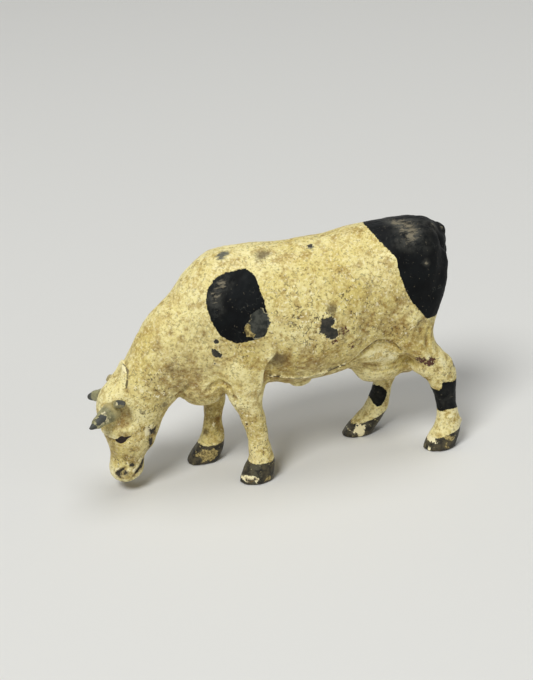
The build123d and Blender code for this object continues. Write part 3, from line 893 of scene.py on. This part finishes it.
def enamel():
    """The paint of the whole figure: cream and black, hooves, chips down to the iron, undercoat, eyes and
    thin lines of painted shade in the creases.
    """
    n = Nodes(bpy.data.materials.new("old_enamel"))
    cream, relief, mottle, grain = cream_paint(n)
    night, rub = black_paint(n)
    black = n.inside(n.ragged("black", 0.38))
    # The worn rivet: grey metal with a pale broken rim, and flakes of old tan paint left on it
    grey_edge = n.ragged("grey", 0.7)
    grey = n.inside(grey_edge)
    grey_rim = n.both(n.band(grey_edge, 0.28, 0.10), n.band(n.noise(1.6, 2), 0.44, 0.54))
    metal = n.mix(n.band(n.noise(1.2, 4, 0.6), 0.36, 0.66), colour(44, 46, 43), colour(78, 79, 72))
    tan = n.mix(n.band(grain, 0.4, 0.6), colour(186, 168, 108), colour(112, 98, 60))
    # Chips: bare iron with a pale broken rim, pale undercoat, and dark breaks over both
    bare_edge = n.ragged("bare", 0.9)
    bare = n.inside(bare_edge)
    bare_rim = n.both(n.band(bare_edge, 0.40, 0.15), n.band(n.noise(1.3, 2), 0.47, 0.56))
    iron = n.mix(n.band(n.noise(0.9, 4), 0.35, 0.7), colour(34, 34, 30), colour(68, 64, 54))
    undercoat = n.mix(mottle, colour(255, 248, 212), colour(240, 226, 172))
    dark_edge = n.ragged("dark", 0.72)
    dark = n.inside(dark_edge)
    breaks = n.mix(grain, colour(28, 28, 25), colour(72, 66, 52))
    crease_shade_tones = n.mix(grain, colour(44, 38, 28), colour(90, 76, 48))
    surface = n.coats(
        cream,
        (night, black),
        (hoof_paint(n), n.inside(n.ragged("hoof", 0.35))),
        (colour(206, 196, 156), grey_rim, 0.75),
        (metal, grey),
        (tan, n.inside(n.ragged("tan", 0.9))),
        (colour(240, 228, 180), bare_rim, 0.8),
        (iron, bare),
        (undercoat, n.inside(n.ragged("pale", 0.8))),
        (colour(112, 88, 48), n.band(dark_edge, 0.7, 0.1), 0.6),
        (breaks, dark),
        # Painted shade: thin dark lines along the creases
        (crease_shade_tones, n.inside(n.ragged("crease_shade", 0.30), 0.12), 0.85),
        (colour(34, 20, 14), n.inside(n.ragged("eye", 0.14), 0.05)),
    )
    # Gloss and relief
    chipped = n.math("MAXIMUM", n.math("MAXIMUM", bare, dark), grey)
    roughness = n.blend(n.band(mottle, 0.3, 0.7), 0.42, 0.62)
    roughness = n.blend(black, roughness, n.blend(rub, 0.55, 0.7))
    roughness = n.blend(chipped, roughness, 0.66)
    relief = n.blend(black, relief, n.both(mottle, 0.14))
    relief = n.math("SUBTRACT", relief, n.both(chipped, 0.6))
    relief = n.math("ADD", relief, n.both(bare_rim, 0.25))
    looks = {"Base Color": surface, "Roughness": roughness, "Specular IOR Level": n.blend(black, 0.32, 0.10)}
    return n.finish(looks, relief, 0.15)


def worn_paint(name, light, deep):
    """Old paint on a small casting, rubbed to dark metal in places, with cream scrapes beside them."""
    n = Nodes(bpy.data.materials.new(name))
    mottle = n.noise(1.2, 5, 0.65)
    root = n.band(n.attribute("reach"), 2.2, 0.2)
    edge = n.ragged("dark", 0.45)
    dark = n.inside(edge)
    metal = n.mix(n.noise(0.8), colour(30, 33, 32), colour(74, 76, 68))
    scrapes = n.both(n.band(edge, 0.55, 0.2), n.band(n.noise(1, 3), 0.47, 0.54))
    specks = n.band(n.noise(0.4, 2), 0.64, 0.70)
    surface = n.coats(
        n.mix(n.band(mottle, 0.35, 0.65), light, deep),
        (colour(186, 168, 108), root, 0.55),
        (colour(214, 204, 160), scrapes, 0.9),
        (metal, dark),
        (colour(60, 54, 38), specks, 0.6),
    )
    relief = n.math("SUBTRACT", n.both(mottle, 0.5), n.both(dark, 0.5))
    return n.finish({"Base Color": surface, "Roughness": n.blend(dark, 0.48, 0.6)}, relief, 0.12)


# Pieces of the figure

def make_piece(name, points, faces, layout, material, replaced):
    """A visible piece with its paint layout, riding on the only body and standing for a node."""
    mesh = bpy.data.meshes.new(name)
    mesh.from_pydata((np.asarray(points) * MM).tolist(), [], [list(face) for face in faces])
    mesh.shade_smooth()
    mesh.materials.append(material)
    for layer, values in layout.items():
        field = mesh.attributes.new(layer, "FLOAT", "POINT")
        field.data.foreach_set("value", np.asarray(values, np.float32))
    piece = bpy.data.objects.new(name, mesh)
    bpy.context.scene.collection.objects.link(piece)
    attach(piece, "root")
    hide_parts(replaced)
    return piece


def cast_surface(body):
    """The slight unevenness of an old casting under paint, and the parting line along the middle."""
    for height, *lump in casting_lumps:
        body.push(height * ripple(body.points, *lump))
    body.push(-parting_depth * falloff(np.abs(body.points[:, 1]), parting_reach))


# How strongly the paint darkens in fine hollows (dirt and painted shade) and in broad hollows (painted
# shade), per mm, on faces that look down (painted shade) and on open paint (dirt).
fine_dirt_and_shade, broad_hollow_shade, underside_shade, open_dirt = 2.2, 0.9, 0.9, 0.04

# How strongly fine crests (rubbed paint and painted highlight) and broad crests (painted highlight) are made
# pale, per mm, and how much less so where a place is listed as darker, or more so where it is listed as
# paler.
fine_rub_and_highlight, broad_highlight, dirt_loss = 1.5, 0.7, 0.7


def grime_shade_and_highlights(body):
    """Darkening in hollows, on faces that look down and at listed places, partly dirt and mostly painted
    shade, and paleness on crests, partly rubbed paint and partly painted highlight. Both from 0 to 1.
    """
    fine = body.hollow(10)
    broad = body.hollow(70)
    # Painted shade on faces that look down
    under = np.clip(0.30 - 0.85 * body.normals[:, 2], 0, 1)
    spread = soft_sum(body.points, darker_places_dirt_and_shade) - soft_sum(body.points, paler_places_highlight)
    grime_and_shade = fine_dirt_and_shade * fine + broad_hollow_shade * broad + underside_shade * under + spread + open_dirt
    # Painted highlight on crests and at the listed pale places, with some real rubbing
    crest = -fine_rub_and_highlight * fine - broad_highlight * broad - dirt_loss * spread
    return np.clip(grime_and_shade, 0, 1), np.clip(crest, 0, 1)


def cut_in_half(piece, side):
    """Cuts a piece on the middle plane, keeps one side and closes the cut."""
    shape = bmesh.new()
    shape.from_mesh(piece.data)
    bmesh.ops.bisect_plane(
        shape, geom=[*shape.verts, *shape.edges, *shape.faces], plane_co=(0, 0, 0), plane_no=(0, side, 0),
        clear_inner=True,
    )
    rim = [edge for edge in shape.edges if edge.is_boundary]
    bmesh.ops.triangle_fill(shape, use_beauty=True, edges=rim, normal=(0, -side, 0))
    shape.to_mesh(piece.data)
    shape.free()


def halves():
    """The two painted castings, with the paint's own thickness and its chips in the surface."""
    layout = paint(skin.points)
    raised = ramp(layout["black"], edge_reach, -edge_reach)
    chips = np.minimum(np.minimum(layout["bare"], layout["pale"]), layout["grey"])
    sunk = ramp(chips, edge_reach, -edge_reach)
    skin.push(paint_thickness * raised - chip_depth * sunk)
    cast_surface(skin)
    skin.points[:, 2] = np.maximum(skin.points[:, 2], 0)
    layout["grime_and_shade"], layout["crest"] = grime_shade_and_highlights(skin)
    for name, node, side in (("left_body", "left_casting", -1), ("right_body", "right_casting", 1)):
        cut_in_half(make_piece(name, skin.points, skin.quads, layout, old_enamel, node), side)


# A place across that is outside the figure, and the dirt on pieces whose hollows aren't worked out.
outside = 60.0
even_grime = 0.3


def rivet(node, surface):
    """A rivet whose two heads follow the skin, a hair proud of it, joined by the shank."""
    along, height = rivet_places[node]
    turns = np.arange(rivet_sides) / rivet_sides * math.tau
    points, faces = [], []
    for side in (-1, 1):
        for radius, lift in rivet_profile[::-side]:
            for turn in turns:
                x, z = along + radius * math.cos(turn), height + radius * math.sin(turn)
                met = surface.ray_cast((x, side * outside, z), (0, -side, 0))[0]
                points.append((x, met[1] + side * lift, z))
    for start in range(0, len(points) - rivet_sides, rivet_sides):
        for corner in range(rivet_sides):
            here, after = start + corner, start + (corner + 1) % rivet_sides
            faces.append((here, after, after + rivet_sides, here + rivet_sides))
    points = np.asarray(points)
    layout = paint(points)
    layout["grime_and_shade"] = np.full(len(points), even_grime)
    layout["crest"] = np.zeros(len(points))
    piece = make_piece(node + "_heads", points, faces, layout, old_enamel, node)
    shape = bmesh.new()
    shape.from_mesh(piece.data)
    bmesh.ops.remove_doubles(shape, verts=shape.verts, dist=1e-7)
    bmesh.ops.recalc_face_normals(shape, faces=shape.faces)
    shape.to_mesh(piece.data)
    shape.free()


def small_body(node):
    """A small casting as a skin of its own, with the same uneven surface as the rest."""
    body = voxel_skin([node_mesh(node)], small_voxel)
    body.relax(4)
    body.push(sum(height * ripple(body.points, *lump) for height, *lump in small_lumps))
    return body


def along_seat(body, node):
    """The root of a small piece, how far along the piece each point lies, and the middle line there."""
    root, way = np.asarray(seats[node][0]), unit(seats[node][1])
    reach = (body.points - root) @ way
    return root, reach, root + reach[:, None] * way


def chip_distance(body, reach, crest, radius, chips):
    """Signed distance to oval chips on the side of a small piece that faces the crest.

    Each chip has its place along and round the piece, how far it is drawn out along it, and its radius in mm.
    """
    around = radius * np.arccos(np.clip(body.normals @ unit(crest), -1, 1))
    ovals = [np.hypot((reach - along) / drawn, around - turn) - size for along, turn, drawn, size in chips]
    return np.min(ovals, axis=0)


# How the horns differ from the drawn ones: root set lower and tip higher, in mm, root thicker and tip
# thinner, as shares. And where along the horn the dark tip begins.
horns = {
    "left_horn": {"drop": 2.4, "rise": 0, "growth": 0.34, "taper": 0.45, "dark": 9.8},
    "right_horn": {"drop": 2, "rise": 0.4, "growth": 0.12, "taper": 0, "dark": 8.7},
}

# Places along a horn, in mm, between which its growth fades, its taper comes in and its tip is evened out.
growth_fade = (6.5, 0)
taper_fade = (8.5, 12.1)
tip_fade = (8.5, 10.5)

# The worn patch and the root chip of the left horn: the side they face, the horn's radius, and the chips.
horn_crest = (-0.17, -0.8, 0.37)
horn_radius = 2.2
horn_chips = [(6.6, 0, 1.4, 1.8), (3.2, 0.6, 1, 0.55)]


def horn(node):
    """A horn with a dark tip and, on the left one, a dark worn patch half way along."""
    body = small_body(node)
    form = horns[node]
    _, reach, middle = along_seat(body, node)
    thickness = 1.0 + form["growth"] * ramp(reach, *growth_fade) - form["taper"] * ramp(reach, *taper_fade)
    body.points = middle + thickness[:, None] * (body.points - middle)
    share = np.clip(reach / reach.max(), -0.3, 1)
    body.points[:, 2] += share * form["rise"] - (1.0 - share) * form["drop"]
    body.turn_normals()
    body.relax(24, 0.5 * ramp(reach, *tip_fade))
    dark = form["dark"] - reach
    if node == "left_horn":
        dark = np.minimum(dark, chip_distance(body, reach, horn_crest, horn_radius, horn_chips))
    layout = {"dark": dark, "reach": reach}
    make_piece(node + "_cast", body.points, body.quads, layout, horn_paint, node)


# How the ears differ from the drawn ones: where they are set, in mm, and how much larger they are. For each
# mm along an ear, how far it leans back and rises, and how strongly it curls up.
ears = {
    "left_ear": {"set": (-2.4, 0, -2.4), "growth": 1.2, "lean": 0.40, "rise": 0, "curl": 0.012},
    "right_ear": {"set": (-1.2, 0, -0.8), "growth": 1, "lean": 0, "rise": -0.15, "curl": 0.0},
}

# The hollow under an ear: its depth, its place along the ear and its reach. And how an ear thins to its tip.
ear_hollow, hollow_place, hollow_reach = 0.5, 3.2, 2.4
ear_taper = 0.45
ear_fade = (2.2, 5.6)

# The dark chips along the top of the left ear.
ear_crest = (0.3, -0.3, 0.9)
ear_radius = 1.8
ear_chips = [(4.2, 0, 1.9, 1.7), (1.6, 0.4, 1, 0.9)]


def ear(node):
    """An ear, hollowed on its underside. The left one is chipped dark along its top."""
    body = small_body(node)
    form = ears[node]
    root, reach, middle = along_seat(body, node)
    under = np.clip(-body.normals[:, 2], 0, 1) * falloff(reach - hollow_place, hollow_reach)
    body.push(-ear_hollow * under)
    thickness = 1.0 - ear_taper * ramp(reach, *ear_fade)
    body.points = middle + thickness[:, None] * (body.points - middle)
    body.points = root + form["growth"] * (body.points - root) + np.asarray(form["set"])
    out = np.maximum(reach, 0)
    body.points[:, 0] += form["lean"] * out
    body.points[:, 2] += form["rise"] * out + form["curl"] * out ** 2
    body.turn_normals()
    layout = {"dark": np.full(len(reach), far_away), "reach": np.zeros(len(reach))}
    if node == "left_ear":
        layout = {"dark": chip_distance(body, reach, ear_crest, ear_radius, ear_chips), "reach": reach}
    make_piece(node + "_cast", body.points, body.quads, layout, ear_paint, node)


# The tail's bulge away from the rump: how far, at which height and over which reach, in mm.
bulge, bulge_height, bulge_reach = 1, 74, 5.5

# Heights between which the tail's hair begins to show. Its strands: number, depth in mm and twist per mm.
hair_heights = (57, 51)
strands, strand_depth, strand_twist = 7, 0.2, 0.3


def tail():
    """The tail, its tassel grooved into strands of hair."""
    body = small_body("tail")
    heights = body.points[:, 2]
    levels = np.linspace(heights.min(), heights.max(), 40)
    nearest = np.clip(np.searchsorted(levels, heights), 0, len(levels) - 1)
    totals = np.maximum(np.bincount(nearest, minlength=len(levels)), 1)
    sums = [np.bincount(nearest, weights=body.points[:, axis], minlength=len(levels)) for axis in (0, 1)]
    from_middle = [body.points[:, axis] - (sums[axis] / totals)[nearest] for axis in (0, 1)]
    turn = np.arctan2(from_middle[1], from_middle[0])
    body.points[:, 0] += bulge * falloff(heights - bulge_height, bulge_reach)
    hair = ramp(heights, *hair_heights)
    body.push(strand_depth * hair * np.cos(strands * turn + strand_twist * heights))
    layout = {layer: np.full(len(heights), far_away) for layer in (*patches, "hoof", "crease_shade")}
    layout["black"] = np.full(len(heights), -far_away)
    layout.update({layer: np.zeros(len(heights)) for layer in ("vein", "crest", *soft_marks)})
    layout["wear_and_sheen"] = soft_sum(body.points, tail_wear_and_sheen)
    layout["grime_and_shade"] = np.full(len(heights), even_grime)
    make_piece("tail_cast", body.points, body.quads, layout, old_enamel, "tail")


old_enamel = enamel()
horn_paint = worn_paint("horn_paint", colour(158, 154, 110), colour(114, 111, 78))
ear_paint = worn_paint("ear_paint", colour(154, 146, 100), colour(104, 98, 66))
halves()
painted = skin.tree()
for node in rivet_places:
    rivet(node, painted)
for node in horns:
    horn(node)
for node in ears:
    ear(node)
tail()


# Stage, light and camera

# Half the width of the floor in metres, its colour and roughness.
floor_reach = 1.6
floor_tint = colour(226, 226, 222)
floor_roughness = 0.95

# Round lamps: place and diameter in metres, and power in watts. All are aimed at the middle of the figure.
lamps = {
    "key": ((-1.2, -1.5, 2.45), 1.2, 67),
    "top": ((0.5, 0.2, 2.9), 1.8, 25),
    "fill": ((2, -2, 1), 2, 6),
}
lamp_aim = (0, 0, 0.04)

# The grey of the surroundings, how strongly they light the figure and how bright they look.
surround_grey = (0.8, 0.8, 0.8, 1)
surround_light = 0.15
surround_look = 0.85

# The camera: its angles, the point it stands off from and how far, the lens, and how far to the left of that
# point and above it the middle of the picture lies. Lengths are in mm.
azimuth = math.radians(-12)
elevation = math.radians(25)
roll = math.radians(4.4)
camera_target = Vector((3.88, 0, 42))
camera_distance = 620.0
camera_lens = 89.44
aim_left = 4.33
aim_above = 6.72


def add_floor():
    """A wide plain floor."""
    corners = [(-floor_reach, -floor_reach, 0), (floor_reach, -floor_reach, 0)]
    corners += [(floor_reach, floor_reach, 0), (-floor_reach, floor_reach, 0)]
    mesh = bpy.data.meshes.new("floor")
    mesh.from_pydata(corners, [], [(0, 1, 2, 3)])
    n = Nodes(bpy.data.materials.new("floor_paper"))
    n.fill(n.tree.nodes["Principled BSDF"], {"Base Color": floor_tint, "Roughness": floor_roughness})
    mesh.materials.append(n.owner)
    floor = bpy.data.objects.new("floor", mesh)
    bpy.context.scene.collection.objects.link(floor)


def add_light(name, place, size, power):
    """A round lamp that looks at the figure."""
    lamp = bpy.data.lights.new(name, "AREA")
    lamp.shape = "DISK"
    lamp.size = size
    lamp.energy = power
    holder = bpy.data.objects.new(name, lamp)
    holder.location = place
    holder.rotation_mode = "QUATERNION"
    holder.rotation_quaternion = (Vector(lamp_aim) - Vector(place)).to_track_quat("-Z", "Y")
    bpy.context.scene.collection.objects.link(holder)


def add_world():
    """Surroundings that light the figure dimly and look pale to the camera and in reflections."""
    n = Nodes(bpy.data.worlds.new("studio"))
    rays = n.add("ShaderNodeLightPath", {})
    seen = rays["Is Camera Ray"]
    for kind in ("Is Glossy Ray", "Is Transmission Ray"):
        seen = n.math("MAXIMUM", seen, rays[kind])
    strength = n.blend(seen, surround_light, surround_look)
    n.fill(n.tree.nodes["Background"], {"Color": surround_grey, "Strength": strength})
    bpy.context.scene.world = n.owner


def add_camera():
    """The camera that took the photo, as it was fitted to it."""
    side = Vector((math.cos(azimuth), math.sin(azimuth), 0))
    ahead = Vector((-math.sin(azimuth), math.cos(azimuth), 0))
    rise = math.sin(elevation) * ahead + Vector((0, 0, math.cos(elevation)))
    right = math.cos(roll) * side - math.sin(roll) * rise
    up = math.sin(roll) * side + math.cos(roll) * rise
    place = camera_target + camera_distance * side.cross(rise)
    look = (place - (camera_target - aim_left * right + aim_above * up)).normalized()
    level = (right - right.dot(look) * look).normalized()
    lens = bpy.data.cameras.new("camera")
    lens.lens = camera_lens
    camera = bpy.data.objects.new("camera", lens)
    turn = Matrix((level, look.cross(level), look)).transposed().to_4x4()
    camera.matrix_world = Matrix.Translation(place * MM) @ turn
    bpy.context.scene.collection.objects.link(camera)
    bpy.context.scene.camera = camera


add_floor()
for name, (place, size, power) in lamps.items():
    add_light(name, place, size, power)
add_world()
bpy.context.scene.view_settings.view_transform = "Standard"
add_camera()
